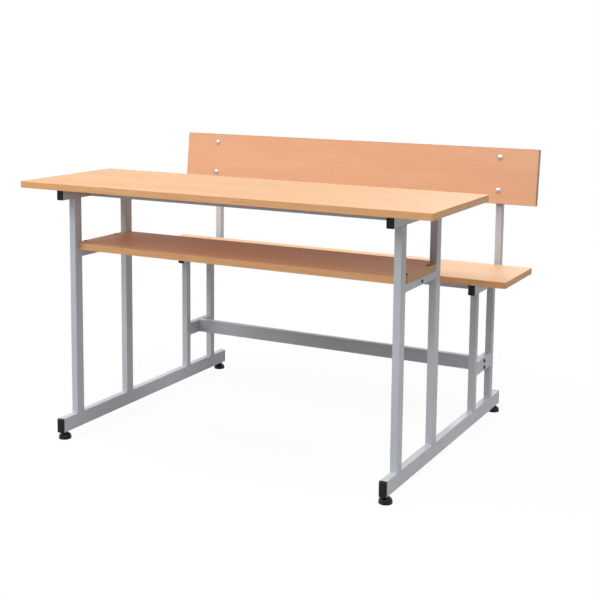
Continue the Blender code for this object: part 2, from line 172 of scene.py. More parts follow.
class FootSettings(bpy.types.PropertyGroup):
    """Levelling feet."""

    rim_height: length("Rim", "Height of the pad's upright rim", 0.005)
    edge_round: length("Edge round", "Rounding at the pad's lower edge", 0.0012)
    chamfer: length("Chamfer", "Chamfer of the pad's other edges", 0.0004)
    shoulder: length("Shoulder", "Height where the pad's dome meets its neck", 0.0145)
    neck_radius: length("Neck", "Radius of the pad's neck", 0.0085)
    neck_fillet: length("Neck fillet", "Fillet under the neck", 0.0018)
    socket_floor: length("Socket floor", "Height of the bottom of the stem's socket", 0.006)
    fit: length("Fit", "Gap round the stem", 0.0003)
    bore_past: length("Bore past the stem", "How far a runner's bore goes on above the stem", 0.003)
    thread_pitch: length("Thread pitch", "Travel for one turn of the stem", 0.00125)
    thread_depth: length("Thread depth", "Depth of the stem's thread", 0.0007)
    round_steps: count("Round steps", "Faces round a pad", 56)
    arc_steps: count("Arc steps", "Faces over each round of a pad", 8)
    thread_steps: count("Thread steps", "Faces round a stem", 20)


class FastenerSettings(bpy.types.PropertyGroup):
    """Screws and bolts."""

    round_steps: count("Round steps", "Faces round a head", 40)
    dome_steps: count("Dome steps", "Faces over a backrest bolt's dome", 10)
    small_dome_steps: count("Small dome steps", "Faces over the other rounded heads", 8)
    screw_head: length("Screw head", "Height of a countersunk head", 0.003)
    head_edge: length("Head edge", "Upright edge of a countersunk head", 0.0002)
    screw_shank: length("Screw shank", "Radius of a screw's shank", 0.0025)
    screw_point: length("Screw point", "Length of a screw's point", 0.004)
    screw_tip: length("Screw tip", "Radius of the point's blunt end", 0.0006)
    sink: length("Hole gap", "Gap round a head or a shank in its hole", 0.0003)
    recess_reach: length("Recess reach", "Half the length of a cross recess", 0.0029)
    recess_width: length("Recess width", "Half the width of a cross recess", 0.0007)
    recess_depth: length("Recess depth", "Depth of a cross recess", 0.0019)
    recess_bottom: share("Recess bottom", "Size of a recess at its bottom as a share of its top", 0.45)
    shelf_recess: share("Shelf recess", "Size of the shelf screws' recess as a share of the others'", 0.75)
    shelf_screw_head: length("Shelf screw", "Head radius of the shelf's screws", 0.0046)
    shelf_screw_height: length("Shelf screw height", "How far those heads stand above the shelf", 0.0024)
    shelf_screw_bite: length("Shelf screw bite", "How far those screws go on below the shelf", 0.006)
    shelf_screw_front: length("Shelf screw front", "Front screws behind the shelf's front edge", 0.042)
    shelf_screw_rear: length("Shelf screw rear", "Rear screws before the shelf's rear edge", 0.068)
    bolt_radius: length("Bolt", "Radius of a bolt's shank", 0.003)
    bolt_pitch: length("Bolt pitch", "Pitch of the bolts' threads", 0.001)
    bolt_thread_depth: length("Bolt thread", "Depth of the bolts' threads", 0.00055)
    thread_before: length("Thread before", "Thread of a backrest bolt before its nut", 0.004)
    thread_past: length("Thread past", "Thread of a backrest bolt that stands out of its nut", 0.002)
    dome_height: length("Dome", "Height of a backrest bolt's dome", 0.004)
    nut_radius: length("Nut", "Radius to a nut's corners", 0.0058)
    nut_height: length("Nut height", "Height of a nut", 0.005)
    nut_chamfer: length("Nut chamfer", "Height that the chamfer takes off a nut's corners", 0.0007)
    nut_steps: count("Nut steps", "Faces round a nut", 60)
    chamfer_steps: count("Chamfer steps", "Faces over a nut's chamfer", 4)
    socket_radius: length("Hex socket", "Radius to the corners of a bolt's hex socket", 0.0024)
    socket_depth: length("Hex socket depth", "Depth of a bolt's hex socket", 0.002)
    stretcher_head: length("Stretcher bolt", "Head radius of the shelf stretcher's bolts", 0.0048)
    stretcher_head_height: length("Stretcher head", "Head height of those bolts", 0.0028)
    zinc_colour: paint("Zinc", "Zinc-plated steel", (0.52, 0.49, 0.475))
    yellow_colour: paint("Yellow zinc", "Yellow zinc of the countersunk screws", (0.50, 0.38, 0.23))
    dark_colour: paint("Dark steel", "Blackened steel of the shelf's screws and the side bolts",
                       (0.07, 0.065, 0.065))


class StageSettings(bpy.types.PropertyGroup):
    """Camera, floor and light."""

    camera_place: position("Camera", "Where the camera stands", (1.534, -2.902, 1.086))
    yaw: angle_of("Yaw", "How far the camera looks to the left of +Y", math.radians(27.392))
    pitch: angle_of("Pitch", "How far the camera looks down", math.radians(7.448))
    roll: angle_of("Roll", "How far the camera leans", math.radians(-0.578))
    focal_pixels: pixels("Focal length", "In pixels of the picture", 1165.9)
    picture_pixels: pixels("Picture", "Width and height of the picture", 600)
    axis_pixels: pixels("Axis height", "From the picture's top down to the height of the lens axis", 200)
    sensor: millimetres("Sensor", "Width of the sensor", 36)
    floor_size: length("Floor", "Side of the floor", 60)
    floor_white: share("White floor", "Share of the floor that stays white in the object's shadow", 0.94)
    fade_start: length("Fade start", "Distance from the desk where the floor starts to turn all white", 0.9)
    fade_end: length("Fade end", "Distance from the desk where the floor is all white", 2.4)
    floor_colour: paint("Floor colour", "What the floor throws back onto the object", (0.37, 0.37, 0.39))
    ambient: share("Ambient", "Light from all round", 0.09)
    lamp_side: length("Lamp side", "Side of each lamp", 2.1)
    left_place: position("Left lamp place", "High beyond the desk's left end", (-2.08, -0.56, 4.12))
    left_power: power("Left lamp", "Power of that lamp", 67)
    key_place: position("Key lamp place", "In front of the desk, to the left", (-2.46, -2.46, 2.93))
    key_power: power("Key lamp", "Power of that lamp", 74)
    front_place: position("Front lamp place", "In front of the desk, to the right", (1.19, -3.27, 2.93))
    front_power: power("Front lamp", "Power of that lamp", 42)
    right_place: position("Right lamp place", "High beyond the desk's right end", (2.08, -0.56, 4.12))
    right_power: power("Right lamp", "Power of that lamp", 74)
    rear_place: position("Rear lamp place", "Behind the bench", (0.0, 3.6, 2.4))
    rear_power: power("Rear lamp", "Power of that lamp", 45)


setting_groups = {
    "boards": BoardSettings,
    "tubes": TubeSettings,
    "caps": CapSettings,
    "feet": FootSettings,
    "fasteners": FastenerSettings,
    "stage": StageSettings,
}


def settings(group):
    """The chosen group of this scene's settings."""
    return getattr(bpy.context.scene, "school_desk_" + group)


# Shader maths

class Value:
    """A node's output that stands in sums. A sum adds its Math node."""

    def __init__(self, nodes, socket):
        self.nodes = nodes
        self.socket = socket

    def worked(self, operation, first, second, clamp=False):
        """What a Math node makes of two values."""
        node_settings = {"operation": operation, "use_clamp": clamp}
        return self.nodes.node("ShaderNodeMath", node_settings, {0: first, 1: second})

    def __add__(self, other):
        return self.worked("ADD", self, other)

    def __sub__(self, other):
        return self.worked("SUBTRACT", self, other)

    def __rsub__(self, other):
        return self.worked("SUBTRACT", other, self)

    def __mul__(self, other):
        return self.worked("MULTIPLY", self, other)

    __radd__ = __add__
    __rmul__ = __mul__

    def above(self, start, end):
        """0 up to the start, 1 from the end, and an even rise between them."""
        return self.worked("MULTIPLY", self - start, 1 / (end - start), clamp=True)

    def clamped(self):
        """The value held between 0 and 1."""
        return self.worked("ADD", self, 0.0, clamp=True)


class Nodes:
    """A node tree that is filled from Python."""

    def __init__(self, tree):
        self.tree = tree

    def node(self, kind, node_settings, sockets, output=0):
        """Add a node, set what it is, then feed its sockets with values or links."""
        made = self.tree.nodes.new(kind)
        for name, value in node_settings.items():
            setattr(made, name, value)
        for key, value in sockets.items():
            self.feed(made.inputs[key], value)
        return Value(self, made.outputs[output]) if made.outputs else None

    def feed(self, socket, value):
        """Link a value to a socket, or write a plain number or colour on it."""
        if isinstance(value, Value):
            self.tree.links.new(value.socket, socket)
        elif socket.type == "RGBA":
            socket.default_value = (*value, 1)
        else:
            socket.default_value = value

    def coordinates(self):
        """The piece's own coordinates, in metres."""
        return self.node("ShaderNodeTexCoord", {}, {}, "Object")

    def mixed(self, first, second, factor):
        """Two colours mixed."""
        return self.node("ShaderNodeMix", {"data_type": "RGBA"}, {0: factor, 6: first, 7: second}, 2)

    def seen_directly(self):
        """1 for rays from the camera, in a mirror or through glass, and 0 for the rest."""
        camera, glossy, through = (
            self.node("ShaderNodeLightPath", {}, {}, name)
            for name in ("Is Camera Ray", "Is Glossy Ray", "Is Transmission Ray")
        )
        return (camera + glossy + through).clamped()


class Finish(Nodes):
    """A Principled material under construction. Its place is what its patterns are laid over."""

    def __init__(self, name, slot):
        self.material = bpy.data.materials.new(name)
        self.material.use_nodes = True
        self.material["slot"] = slot
        super().__init__(self.material.node_tree)
        self.shader = self.tree.nodes["Principled BSDF"]
        self.place = self.coordinates()

    def noise(self, cells, seed, detail=2.0, roughness=0.5, distortion=0.0):
        """Soft noise from 0 to 1, with so many cells in a metre of each axis."""
        stretched = self.node("ShaderNodeVectorMath", {"operation": "MULTIPLY"}, {0: self.place, 1: cells})
        sockets = {"Vector": stretched, "W": seed, "Scale": 1.0, "Detail": detail,
                   "Roughness": roughness, "Distortion": distortion}
        return self.node("ShaderNodeTexNoise", {"noise_dimensions": "4D"}, sockets)

    def bump(self, height, distance):
        """A bumped normal."""
        sockets = {"Height": height, "Distance": distance, "Strength": 1.0}
        return self.node("ShaderNodeBump", {}, sockets, "Normal")

    def made(self, **sockets):
        """The material, once the shader's sockets are fed. Their names have _ for a space."""
        for name, value in sockets.items():
            self.feed(self.shader.inputs[name.replace("_", " ")], value)
        return self.material


def evenly(cells):
    """As many cells along each axis."""
    return (cells, cells, cells)


def tinted(colour, red, green=None, blue=None):
    """A colour with its parts scaled, all alike where one factor is given."""
    factors = (red, green or red, blue or red)
    return tuple(min(1.0, part * factor) for part, factor in zip(colour, factors))


def laminate(name, colour, seed):
    """Printed beech laminate: broad bands, fine fibres and short rays, all along X, and a satin skin."""
    grain = settings("boards").grain
    look = Finish(name, "laminate")
    bands = look.noise((1.1, 17.0, 17.0), seed, 3.0, 0.55, 0.6)
    fibres = look.noise((7.0, 260.0, 260.0), seed + 3.1, 4.0, 0.62)
    rays = look.noise((95.0, 900.0, 900.0), seed + 7.7, 1.0)
    smudges = look.noise(evenly(6.0), seed + 9.4, 3.0, 0.6)
    pores = rays.above(0.60, 0.72)
    shade = look.mixed(tinted(colour, 1.06), tinted(colour, 0.93, 0.86, 0.80),
                       bands.above(0.30, 0.70) * (0.75 * grain))
    shade = look.mixed(shade, tinted(colour, 0.86, 0.78, 0.72), fibres.above(0.42, 0.74) * (0.45 * grain))
    shade = look.mixed(shade, tinted(colour, 0.62, 0.50, 0.42), pores * (0.30 * grain))
    return look.made(Base_Color=shade, Metallic=0.0, IOR=1.48, Specular_IOR_Level=0.25,
                     Roughness=smudges * 0.10 + pores * 0.06 + 0.50,
                     Normal=look.bump(fibres * 0.5 - pores * 0.8, 0.00006))


def edging(name, colour, seed):
    """Plastic edging: faint lines along the strip, a little duller where it was trimmed."""
    look = Finish(name, "laminate")
    x, y, z = (look.node("ShaderNodeSeparateXYZ", {}, {0: look.place}, axis) for axis in "XYZ")
    look.place = look.node("ShaderNodeCombineXYZ", {}, {"X": x + y, "Y": z, "Z": 0.0})
    lines = look.noise((14.0, 700.0, 1.0), seed, 4.0, 0.6)
    tone = look.noise((3.0, 90.0, 1.0), seed + 2.3)
    shade = look.mixed(tinted(colour, 1.12), tinted(colour, 0.80), lines.above(0.30, 0.70))
    shade = look.mixed(shade, tinted(colour, 1.0, 0.86, 0.78), tone.above(0.35, 0.65) * 0.5)
    return look.made(Base_Color=shade, Metallic=0.0, IOR=1.48, Specular_IOR_Level=0.3,
                     Roughness=lines * 0.14 + 0.42, Normal=look.bump(lines, 0.00005))


def powder_coat(name, colour):
    """Silver-grey powder coat: fine metal flake, orange peel and slight changes of shade."""
    look = Finish(name, "frame")
    flake = look.noise(evenly(5200.0), 1.3, 1.0)
    peel = look.noise(evenly(620.0), 4.1)
    cloud = look.noise(evenly(5.5), 8.2, 3.0, 0.6)
    shade = look.mixed(tinted(colour, 0.95), tinted(colour, 1.05), cloud.above(0.3, 0.7))
    shade = look.mixed(shade, tinted(colour, 1.30), flake.above(0.60, 0.75) * 0.35)
    return look.made(Base_Color=shade, Metallic=0.04, IOR=1.5, Specular_IOR_Level=0.2,
                     Coat_Weight=0.5, Coat_Roughness=0.18,
                     Roughness=cloud * 0.08 + peel * 0.10 + 0.40, Normal=look.bump(peel, 0.00008))


def moulded_plastic(name, colour):
    """Black moulded plastic: a spark-eroded grain, with scuffs that are paler and shinier."""
    look = Finish(name, "black_plastic")
    grain = look.noise(evenly(2600.0), 3.0, 2.0, 0.6)
    scuffs = look.noise((240.0, 240.0, 900.0), 8.0, 3.0, 0.65, 0.8)
    worn = scuffs.above(0.58, 0.78)
    shade = look.mixed(colour, tinted(colour, 2.6), worn * 0.6)
    return look.made(Base_Color=shade, Metallic=0.0, IOR=1.49, Specular_IOR_Level=0.22,
                     Roughness=grain * 0.14 - worn * 0.08 + 0.30, Normal=look.bump(grain, 0.00004))


def plated_steel(name, colour, roughness=0.24):
    """Plated or blackened steel: a slightly clouded, brushed metal."""
    look = Finish(name, "zinc_steel")
    cloud = look.noise(evenly(420.0), 2.2, 3.0, 0.6)
    brushed = look.noise((2400.0, 2400.0, 300.0), 6.4)
    shade = look.mixed(tinted(colour, 0.86), tinted(colour, 1.10), cloud.above(0.3, 0.7))
    return look.made(Base_Color=shade, Metallic=1.0,
                     Roughness=cloud * 0.14 + brushed * 0.08 + roughness, Normal=look.bump(brushed, 0.00002))


def finish_named(name, maker, *details):
    """The material of that name, made the first time it is asked for."""
    return bpy.data.materials.get(name) or maker(name, *details)


def grey_coat():
    """Finish of every tube and weld."""
    return finish_named("silver_grey_powder_coat", powder_coat, settings("tubes").coat_colour)


def black_plastic():
    """Finish of the caps and the pads."""
    return finish_named("black_moulded_plastic", moulded_plastic, settings("caps").plastic_colour)


def zinc():
    """Finish of the backrest's bolts and nuts, and of the stems."""
    return finish_named("zinc_plated_steel", plated_steel, settings("fasteners").zinc_colour)


def yellow_zinc():
    """Finish of the countersunk screws."""
    return finish_named("yellow_zinc_plated_steel", plated_steel, settings("fasteners").yellow_colour)


def dark_steel():
    """Finish of the shelf's screws and the side bolts."""
    return finish_named("blackened_steel", plated_steel, settings("fasteners").dark_colour, 0.38)


# Outlines and skins

def rectangle(width, height):
    """Corners of a rectangle about zero, in turning order."""
    across, up = width / 2, height / 2
    return [(-across, -up), (across, -up), (across, up), (-across, up)]


def rounded_outline(corners, radius, steps, inset=0.0):
    """Right-angled outline, drawn in by the inset, whose corners are arcs."""
    points = []
    for index, place in enumerate(corners):
        corner = Vector(place)
        back = (Vector(corners[index - 1]) - corner).normalized()
        ahead = (Vector(corners[(index + 1) % len(corners)]) - corner).normalized()
        outer = 1 if back.x * ahead.y < back.y * ahead.x else -1
        arc = radius - outer * inset
        centre = corner + (back + ahead) * (outer * inset + arc)
        for step in range(steps + 1):
            angle = step / steps * math.pi / 2
            points.append(tuple(centre - ahead * arc * math.cos(angle) - back * arc * math.sin(angle)))
    return points


def loop_round(reach_at, steps):
    """Closed loop of points, from how far it reaches at each angle."""
    points = []
    for step in range(steps):
        angle = 2 * math.pi * step / steps
        points.append((reach_at(angle) * math.cos(angle), reach_at(angle) * math.sin(angle)))
    return points


def circle(radius, steps):
    """Circle as a closed loop of points."""
    return loop_round(lambda angle: radius, steps)


def cross_outline(reach, width):
    """A plus sign, in turning order."""
    quarter = [(reach, -width), (reach, width), (width, width)]
    points = []
    for step in range(4):
        spin = Matrix.Rotation(step * math.pi / 2, 2)
        points += [tuple(spin @ Vector(point)) for point in quarter]
    return points


def curved(start, end, steps, level_first=False):
    """Radius and height pairs along a quarter of an ellipse, upright or level at the start."""
    pairs = []
    for step in range(steps + 1):
        angle = step / steps * math.pi / 2
        reach, rise = 1 - math.cos(angle), math.sin(angle)
        if level_first:
            reach, rise = rise, reach
        pairs.append((start[0] + (end[0] - start[0]) * reach, start[1] + (end[1] - start[1]) * rise))
    return pairs


def add_skin(mesh, rings, closed=False):
    """Skin a stack of rings, closed by end faces or back onto its first ring."""
    loops = [[mesh.verts.new(point) for point in ring] for ring in rings]
    pairs = list(zip(loops, loops[1:]))
    if closed:
        pairs.append((loops[-1], loops[0]))
    else:
        mesh.faces.new(list(reversed(loops[0])))
        mesh.faces.new(loops[-1])
    for low, high in pairs:
        for index in range(len(low)):
            following = (index + 1) % len(low)
            mesh.faces.new((low[index], low[following], high[following], high[index]))


def in_direction(direction, across, up, along):
    """Turn a section's coordinates into the piece's own axes."""
    if direction == "X":
        return Vector((along, across, up))
    if direction == "Y":
        return Vector((across, along, up))
    return Vector((across, up, along))


def lofted(stops, direction="Z", centre=(0, 0, 0), closed=False, mesh=None):
    """Skin sections, each with its place along the direction, as a new shape or in a given one."""
    mesh = mesh or bmesh.new()
    base = Vector(centre)
    rings = [[base + in_direction(direction, *point, along) for point in section] for section, along in stops]
    add_skin(mesh, rings, closed)
    return mesh


def lathed(profile, steps, direction="Z", centre=(0, 0, 0)):
    """A turned shape, from radius and height pairs."""
    return lofted([(circle(radius, steps), along) for radius, along in profile], direction, centre)


def threaded(radius, pitch, depth, start, end, steps, mesh=None):
    """A threaded rod, chamfered at both ends. The thread's crest winds round with the height."""
    levels_a_pitch = 6
    crest_steepness = 1.25
    stop_count = math.ceil((end - start) / pitch * levels_a_pitch)
    stops = []
    for stop in range(stop_count + 1):
        along = start + (end - start) * stop / stop_count
        limit = radius - depth + min(along - start, end - along)

        def reach_at(angle):
            """Radius of the thread, held back by the chamfer."""
            winding = (along / pitch - angle / (2 * math.pi)) % 1
            crest = min(1.0, crest_steepness * abs(2 * winding - 1))
            return min(radius - depth * (1 - crest), limit)

        stops.append((loop_round(reach_at, steps), along))
    return lofted(stops, mesh=mesh)


# Pieces

def linked(name, data, place):
    """An object of this scene."""
    item = bpy.data.objects.new(name, data)
    bpy.context.scene.collection.objects.link(item)
    item.matrix_world = place
    return item


def new_object(name, mesh, place):
    """An object of a built shape, with its faces turned outward."""
    bmesh.ops.recalc_face_normals(mesh, faces=mesh.faces)
    data = bpy.data.meshes.new(name)
    mesh.to_mesh(data)
    mesh.free()
    return linked(name, data, place)


def cut_out(item, mesh, place):
    """Cut a shape out of a piece for good."""
    tool = new_object(item.name + "_cutter", mesh, place)
    change = item.modifiers.new("cut", "BOOLEAN")
    change.operation = "DIFFERENCE"
    change.solver = "EXACT"
    change.object = tool
    bpy.context.view_layer.update()
    seen = item.evaluated_get(bpy.context.evaluated_depsgraph_get())
    old, item.data = item.data, bpy.data.meshes.new_from_object(seen)
    item.modifiers.clear()
    item.data.name = item.name
    bpy.data.meshes.remove(old)
    bpy.data.objects.remove(tool, do_unlink=True)


def piece(name, mesh, material, replaced=(), body=desk_body, place=Matrix.Identity(4), cuts=()):
    """A finished piece that rides on its body and stands for the frame's nodes that it replaces."""
    item = new_object(name, mesh, place)
    for shape in cuts:
        cut_out(item, shape, place)
    item.data.shade_smooth()
    item.data.set_sharp_from_angle(angle=smooth_angle)
    evened = item.modifiers.new("even_normals", "WEIGHTED_NORMAL")
    evened.keep_sharp = True
    item.data.materials.clear()
    item.data.materials.append(material)
    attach(item, body)
    if replaced:
        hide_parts(*replaced)
    return item


class Box:
    """The box of one of the frame's nodes, at rest."""

    def __init__(self, node):
        self.low, self.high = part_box(node)
        self.size = self.high - self.low
        self.middle = (self.low + self.high) / 2

    def corner(self, outward):
        """The box's highest corner for a positive sign, and its lowest for a negative one."""
        return self.high if outward > 0 else self.low


# Boards

Board = namedtuple("Board", "place length depth thickness")


def level_board(node):
    """A level board in its own frame, whose origin is the middle of its front upper edge."""
    box = Box(node)
    return Board(Matrix.Translation((0, box.low.y, box.high.z)), *box.size)


def backrest_lean():
    """Angle by which the backrest leans back."""
    rise = Box("left_upper_backrest_bolt").middle - Box("left_lower_backrest_bolt").middle
    return math.atan2(rise.y, rise.z)


def backrest():
    """The leaning board in its own frame.

    The frame's origin is the middle of the front face's lower edge, Y runs up the slope and Z
    points forward, square to the face.
    """
    box, lean = Box("backrest_board"), backrest_lean()
    cosine, sine = math.cos(lean), math.sin(lean)
    spread = cosine * cosine - sine * sine
    depth = (box.size.z * cosine - box.size.y * sine) / spread
    thickness = (box.size.y * cosine - box.size.z * sine) / spread
    origin = (0, box.low.y, box.low.z + thickness * sine)
    place = Matrix.Translation(origin) @ Matrix.Rotation(math.pi / 2 - lean, 4, "X")
    return Board(place, box.size.x, depth, thickness)


def place_on(board, node):
    """X and Y of a node's middle in a board's own frame."""
    spot = board.place.inverted() @ Box(node).middle
    return spot.x, spot.y


def board_corners(board, notch):
    """Corners of a board in its own frame.

    A notch, where there is one, is how far the corners are cut back in length, and where each
    end then starts and stops along the depth.
    """
    half, depth = board.length / 2, board.depth
    if not notch:
        return [(-half, 0), (half, 0), (half, depth), (-half, depth)]
    notch_length, start, stop = notch
    inner = half - notch_length
    return [
        (-inner, 0), (inner, 0), (inner, start), (half, start), (half, stop), (inner, stop),
        (inner, depth), (-inner, depth), (-inner, stop), (-half, stop), (-half, start), (-inner, start),
    ]


def board_pieces(name, board, colour, band_colour, holes, notch=None):
    """Laminated panel, and the edging that goes round it."""
    chosen = settings("boards")
    seed, corners = grain_seeds[name], board_corners(board, notch)
    inner, radius = chosen.band_thickness, chosen.band_round

    def outline(inset):
        """The board's outline, drawn in by the inset."""
        return rounded_outline(corners, chosen.corner_round, chosen.arc_steps, inset)

    panel = lofted([(outline(inner + hairline), -board.thickness), (outline(inner + hairline), 0)])
    piece(name, panel, finish_named(name + "_laminate", laminate, colour, seed), [name],
          place=board.place, cuts=holes)

    top, bottom = -chosen.band_drop, chosen.band_drop - board.thickness
    pairs = [
        (inner, bottom),
        *curved((radius, bottom), (0, bottom + radius), chosen.round_steps, level_first=True),
        *curved((0, top - radius), (radius, top), chosen.round_steps),
        (inner, top),
    ]
    band = lofted([(outline(inset), height) for inset, height in pairs], closed=True)
    piece(name + "_edging", band, finish_named(name + "_edging", edging, band_colour, seed + 0.7),
          place=board.place)


def countersink(board, screw):
    """Shape of the hole for a countersunk screw, in its board's frame."""
    chosen = settings("fasteners")
    shank = chosen.screw_shank + chosen.sink
    head = Box(screw).size.x / 2 + chosen.sink
    profile = [
        (shank, -board.thickness - cut_overrun), (shank, -chosen.screw_head - chosen.sink),
        (head, -chosen.sink), (head, cut_overrun),
    ]
    return lathed(profile, chosen.round_steps, centre=(*place_on(board, screw), 0))


def plain_hole(board, place, radius):
    """Shape of a straight hole through a board, in its board's frame."""
    chosen = settings("fasteners")
    reach = radius + chosen.sink
    profile = [(reach, -board.thickness - cut_overrun), (reach, cut_overrun)]
    return lathed(profile, chosen.round_steps, centre=(*place, 0))


def shelf_screw_places():
    """Where the shelf is screwed to its rails: X and Y in the shelf's own frame."""
    chosen = settings("fasteners")
    depth = level_board("book_shelf").depth
    for _, sign in sides:
        x = sign * abs(Box("left_shelf_rail").middle.x)
        for y in (chosen.shelf_screw_front, depth - chosen.shelf_screw_rear):
            yield x, y


class SCHOOLDESK_OT_boards(bpy.types.Operator):
    """Desk top, book shelf, seat and backrest, each with its edging"""

    bl_idname = "school_desk.boards"
    bl_label = "Boards and edging"

    def execute(self, context):
        chosen, fasteners = settings("boards"), settings("fasteners")
        screwed_boards = (("desk_top", "top_screw", chosen.top_colour),
                          ("seat_board", "seat_screw", chosen.seat_colour))
        for name, screw, colour in screwed_boards:
            board = level_board(name)
            holes = [countersink(board, f"{corner}_{screw}") for corner in corner_names]
            board_pieces(name, board, colour, chosen.band_colour, holes)

        board, box = level_board("book_shelf"), Box("book_shelf")
        front, rear = Box("right_desk_front_post"), Box("right_desk_rear_post")
        notch = (
            box.high.x - front.low.x + chosen.post_gap,
            front.high.y + chosen.front_post_gap - box.low.y,
            rear.low.y - chosen.post_gap - box.low.y,
        )
        holes = [plain_hole(board, place, fasteners.screw_shank) for place in shelf_screw_places()]
        # The shelf's laminate is darkened to paint the shade under the desk top.
        board_pieces("book_shelf", board, chosen.shelf_shaded_colour, chosen.band_colour, holes, notch)

        board = backrest()
        holes = [plain_hole(board, place_on(board, name), fasteners.bolt_radius) for name in backrest_bolts]
        board_pieces("backrest_board", board, chosen.back_colour, chosen.back_band_colour, holes)
        return {"FINISHED"}


# Tubes

def tube_sections(width, height):
    """Outer and inner outline of a tube."""
    chosen = settings("tubes")
    return [rounded_outline(rectangle(width, height), chosen.corner, chosen.arc_steps, inset)
            for inset in (0, chosen.wall)]


def straight_tube(node, direction, cuts=()):
    """Open tube in place of a straight tube of the frame."""
    box = Box(node)
    axis = "XYZ".index(direction)
    outer, inner = tube_sections(*(box.size[index] for index in range(3) if index != axis))
    half = box.size[axis] / 2
    stops = [(outer, -half), (outer, half), (inner, half), (inner, -half)]
    piece(node, lofted(stops, direction, box.middle, closed=True), grey_coat(), [node], cuts=cuts)


def stem_bore(side, end):
    """Shape of the hole for a foot's stem, in a runner and in its cap."""
    chosen = settings("feet")
    stem = Box(f"{side}_{end}_foot_stem")
    radius = stem.size.x / 2 + chosen.fit
    bottom = Box(side + "_runner").low.z - cut_overrun
    profile = [(radius, bottom), (radius, stem.high.z + chosen.bore_past)]
    return lathed(profile, chosen.round_steps, centre=(stem.middle.x, stem.middle.y, 0))


def drain_hole(side, outward):
    """Shape of the drain hole through the outer wall of a desk rail."""
    chosen = settings("tubes")
    rail = Box(side + "_desk_rail")
    y = Box(side + "_desk_front_post").high.y - 2 * chosen.drain_radius
    profile = [(chosen.drain_radius, outward * cut_overrun),
               (chosen.drain_radius, -outward * (chosen.wall + cut_overrun))]
    centre = (rail.corner(outward).x, y, rail.middle.z)
    return lathed(profile, settings("fasteners").round_steps, "X", centre)


def leaning_path(side):
    """Depth, height and lean along the middle of a bent backrest post, and the post's own depth."""
    chosen = settings("tubes")
    box, lean, radius = Box(side + "_backrest_post"), backrest_lean(), chosen.bend_radius
    depth = box.size.x
    start_y = box.low.y + depth / 2
    end_y = box.high.y - depth / 2 * math.cos(lean)
    end_z = box.high.z - depth / 2 * math.sin(lean)
    slope = (end_y - start_y - radius * (1 - math.cos(lean))) / math.sin(lean)
    bend_z = end_z - slope * math.cos(lean) - radius * math.sin(lean)
    stops = [(start_y, box.low.z, 0)]
    for step in range(chosen.bend_steps + 1):
        angle = lean * step / chosen.bend_steps
        stops.append((start_y + radius * (1 - math.cos(angle)), bend_z + radius * math.sin(angle), angle))
    stops.append((end_y, end_z, lean))
    return stops, depth


def bent_post(side):
    """Backrest post, bent to lean back above the seat rail."""
    name = side + "_backrest_post"
    stops, depth = leaning_path(side)
    outer, inner = tube_sections(depth, depth)
    x = Box(name).middle.x

    def ring(section, y, z, lean):
        """A section of the tube, square to the path at one of its stops."""
        return [(x + across, y + up * math.cos(lean), z - up * math.sin(lean)) for across, up in section]

    mesh = bmesh.new()
    rings = [ring(outer, *stop) for stop in stops] + [ring(inner, *stop) for stop in reversed(stops)]
    add_skin(mesh, rings, closed=True)
    piece(name, mesh, grey_coat(), [name])


class SCHOOLDESK_OT_tubes(bpy.types.Operator):
    """The two welded side frames and the four tubes between them"""

    bl_idname = "school_desk.tubes"
    bl_label = "Steel tubes"

    def execute(self, context):
        for side, sign in sides:
            straight_tube(side + "_runner", "Y", [stem_bore(side, end) for end in ends])
            for name in posts_on_runner:
                straight_tube(f"{side}_{name}", "Z")
            straight_tube(side + "_desk_rail", "Y", [drain_hole(side, sign)])
            for name in ("shelf_rail", "seat_rail", "cross_member"):
                straight_tube(f"{side}_{name}", "Y")
            bent_post(side)
        for name in ("desk_stretcher", "shelf_stretcher", "seat_stretcher", "foot_brace"):
            straight_tube(name, "X")
        return {"FINISHED"}


# Welds

def add_bead(mesh, start, end):
    """A rippled weld bead between two points, with round ends."""
    chosen = settings("tubes")
    start, end = Vector(start), Vector(end)
    run = (end - start).length
    ahead = (end - start).normalized()
    aside = ahead.orthogonal().normalized()
    level = ahead.cross(aside)
    radius = chosen.bead_radius
    ring_count = math.ceil(run / chosen.bead_pitch * chosen.ripple_steps)
    rings = []
    for index in range(ring_count + 1):
        along = run * index / ring_count
        to_end = min(along, run - along, radius) / radius
        ripple = 1 + chosen.bead_ripple * math.sin(2 * math.pi * along / chosen.bead_pitch)
        reach = radius * ripple * max(chosen.bead_tip, math.sqrt(1 - (1 - to_end) ** 2))
        rings.append([start + ahead * along + aside * across + level * up
                      for across, up in circle(reach, chosen.bead_steps)])
    add_skin(mesh, rings)


def add_corner_bead(mesh, box, y, z, toward_y, toward_z):
    """Fillet weld across a frame, in the corner between two tubes."""
    chosen = settings("tubes")
    lift = chosen.bead_radius * chosen.bead_lift
    y, z = y + toward_y * lift, z + toward_z * lift
    add_bead(mesh, (box.low.x + chosen.corner, y, z), (box.high.x - chosen.corner, y, z))


def add_face_beads(mesh, box, start, end):
    """Nearly flush welds on both faces of a frame. Start and end are Y and Z."""
    chosen = settings("tubes")
    sunk = chosen.bead_radius * chosen.bead_sunk
    for x in (box.low.x + sunk, box.high.x - sunk):
        add_bead(mesh, (x, *start), (x, *end))


def add_post_welds(mesh, box, z, toward_z, depth):
    """Welds on three sides of the end of a post that stands against a tube."""
    inset = settings("tubes").bead_radius / 2
    add_corner_bead(mesh, box, box.low.y, z, -1, toward_z)
    add_face_beads(mesh, box, (box.low.y + inset, z), (box.low.y + depth - inset, z))


def add_rail_welds(mesh, box, y, toward_y, with_top):
    """Welds round the end of a level tube that stands against a post."""
    inset = settings("tubes").bead_radius / 2
    add_corner_bead(mesh, box, y, box.low.z, toward_y, -1)
    if with_top:
        add_corner_bead(mesh, box, y, box.high.z, toward_y, 1)
    add_face_beads(mesh, box, (y, box.low.z + inset), (y, box.high.z - inset))


